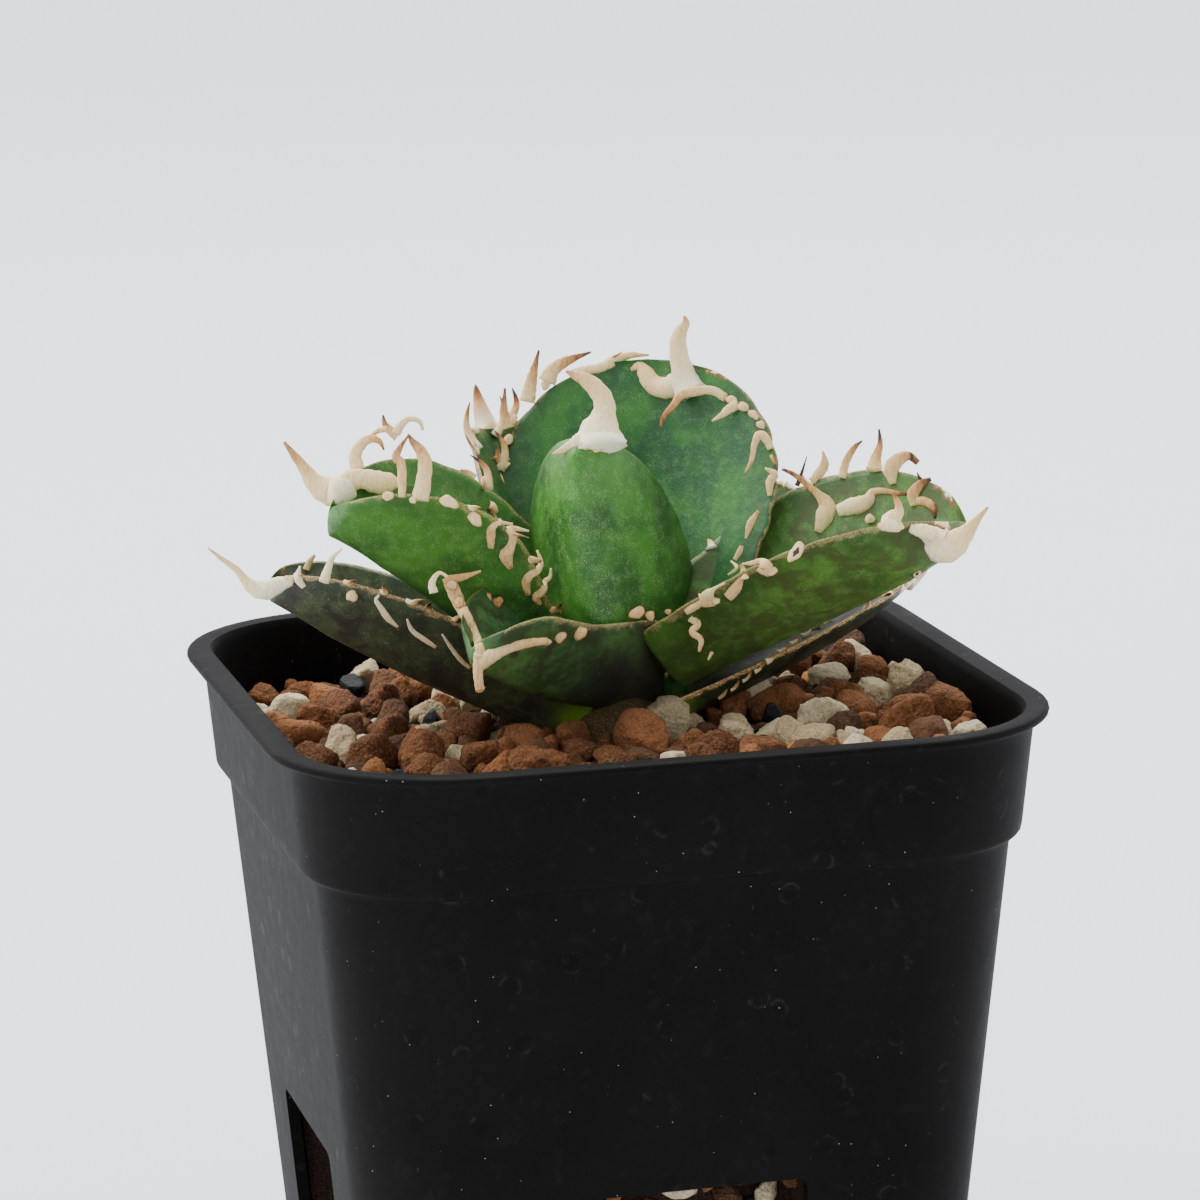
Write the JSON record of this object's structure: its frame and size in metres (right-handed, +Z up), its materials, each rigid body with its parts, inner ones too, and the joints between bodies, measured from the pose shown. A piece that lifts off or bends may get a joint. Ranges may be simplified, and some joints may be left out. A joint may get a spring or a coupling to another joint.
{
  "type": "potted agave",
  "caption": "Small toothed agave rosette rooted in mineral grains in a square black nursery pot with drain windows; stands on its flat base.",
  "frame": {"origin": "middle of the pot's flat underside", "axes": "+Z up out of the pot's mouth; -Y is the side that faces the viewer, +X is the viewer's right"},
  "size_m": [0.076, 0.076, 0.1091],
  "materials": {
    "black_plastic": "thin moulded black plastic, satin, faint water marks and scuffs",
    "gravel_mix": "packed mineral grains, reddish brown and cream, dry",
    "akadama": "baked reddish-brown clay grain, matt and porous",
    "orange_grain": "smooth orange-brown pebble",
    "pumice": "cream pumice, matt and porous",
    "charcoal": "charcoal chip, broken face slightly glossy",
    "stem": "short living stem with corky roots",
    "leaf_green": "thick waxy leaf, rich green, ivory to brown teeth and spine",
    "leaf_blue_green": "thick waxy leaf, blue-green",
    "leaf_dark": "old thick leaf, dark olive to purple-black with pale specks"
  },
  "bodies": {
    "root": {"akadama_grain_01": "akadama", "akadama_grain_02": "akadama", "akadama_grain_03": "akadama", "akadama_grain_04": "akadama", "akadama_grain_05": "akadama", "akadama_grain_06": "akadama", "akadama_grain_07": "akadama", "akadama_grain_08": "akadama", "akadama_grain_09": "akadama", "akadama_grain_10": "akadama", "charcoal_chip": "charcoal", "leaf_back": "leaf_blue_green", "leaf_back_left": "leaf_green", "leaf_back_right": "leaf_green", "leaf_bud": "leaf_green", "leaf_front": "leaf_green", "leaf_heart": "leaf_green", "leaf_left_up": "leaf_green", "leaf_low_back": "leaf_green", "leaf_low_back_left": "leaf_green", "leaf_low_left": "leaf_dark", "leaf_low_right": "leaf_dark", "leaf_right_up": "leaf_green", "nursery_pot": "black_plastic", "orange_grain_01": "orange_grain", "orange_grain_02": "orange_grain", "pumice_grain_01": "pumice", "pumice_grain_02": "pumice", "pumice_grain_03": "pumice", "pumice_grain_04": "pumice", "pumice_grain_05": "pumice", "pumice_grain_06": "pumice", "pumice_grain_07": "pumice", "pumice_grain_08": "pumice", "pumice_grain_09": "pumice", "root_stem": "stem", "substrate_base": "gravel_mix", "substrate_bed": "gravel_mix"}
  },
  "joints": []
}
